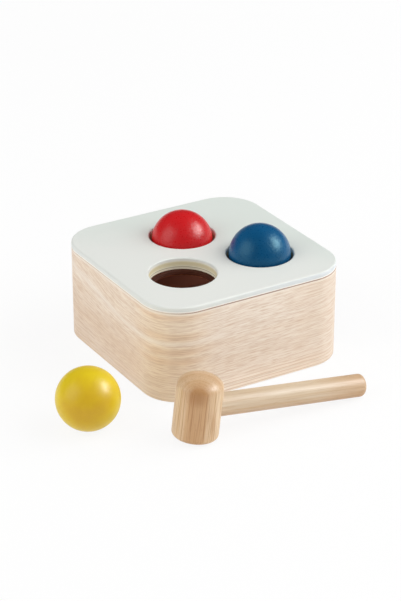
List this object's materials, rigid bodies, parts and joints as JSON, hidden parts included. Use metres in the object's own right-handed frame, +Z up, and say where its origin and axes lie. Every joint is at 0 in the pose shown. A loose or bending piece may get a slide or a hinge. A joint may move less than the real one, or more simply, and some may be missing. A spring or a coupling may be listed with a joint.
{
  "type": "ball pounding toy",
  "caption": "Square wooden box with rounded corners and a white lid whose holes hold coloured balls; a wooden mallet pounds them through and they roll out on the right.",
  "frame": {"origin": "centre of the box's underside, on the surface that the toy stands on", "axes": "+Z up, -Y towards the front of the box, where the mallet lies, +X to the right seen from the front"},
  "size_m": [0.2403, 0.2209, 0.0981],
  "materials": {
    "pale_wood": "sanded pale hardwood with a thin clear coat",
    "plywood": "sanded plywood",
    "white_paint": "plywood with satin white paint on its face and edge",
    "mallet_wood": "turned hardwood with a thin clear coat",
    "red_paint": "satin red stain on wood",
    "blue_paint": "satin blue stain on wood",
    "yellow_paint": "satin yellow stain on wood",
    "dark_rubber": "matte dark brown rubber",
    "steel": "zinc plated"
  },
  "bodies": {
    "box": {"base_panel": "plywood", "wall_ring": "pale_wood", "lid": "white_paint", "clamp_plate": "plywood", "ramp": "plywood", "grip_ring_back": "dark_rubber", "grip_ring_left": "dark_rubber", "grip_ring_right": "dark_rubber", "clamp_screw_1": "steel", "clamp_screw_2": "steel", "clamp_screw_3": "steel", "clamp_screw_4": "steel", "base_screw_1": "steel", "base_screw_2": "steel", "base_screw_3": "steel", "base_screw_4": "steel", "ramp_screw_front": "steel", "ramp_screw_back": "steel"},
    "red_ball": {"red_ball": "red_paint"},
    "blue_ball": {"blue_ball": "blue_paint"},
    "yellow_ball": {"yellow_ball": "yellow_paint"},
    "mallet": {"mallet_head": "mallet_wood", "mallet_handle": "mallet_wood"}
  },
  "joints": [
    {"name": "red_ball_push", "type": "slide", "parent": "box", "child": "red_ball", "axis": [0, 0, -1], "range_m": [-0.03, 0.037], "deforming": ["grip_ring_back"]},
    {"name": "blue_ball_push", "type": "slide", "parent": "box", "child": "blue_ball", "axis": [0, 0, -1], "range_m": [-0.03, 0.0416], "deforming": ["grip_ring_right"]},
    {"name": "yellow_ball_lift", "type": "slide", "parent": "box", "child": "yellow_ball", "axis": [0, 0, 1], "range_m": [0, 0.1]},
    {"name": "mallet_lift", "type": "slide", "parent": "box", "child": "mallet", "axis": [0, 0, 1], "range_m": [0, 0.15]}
  ]
}
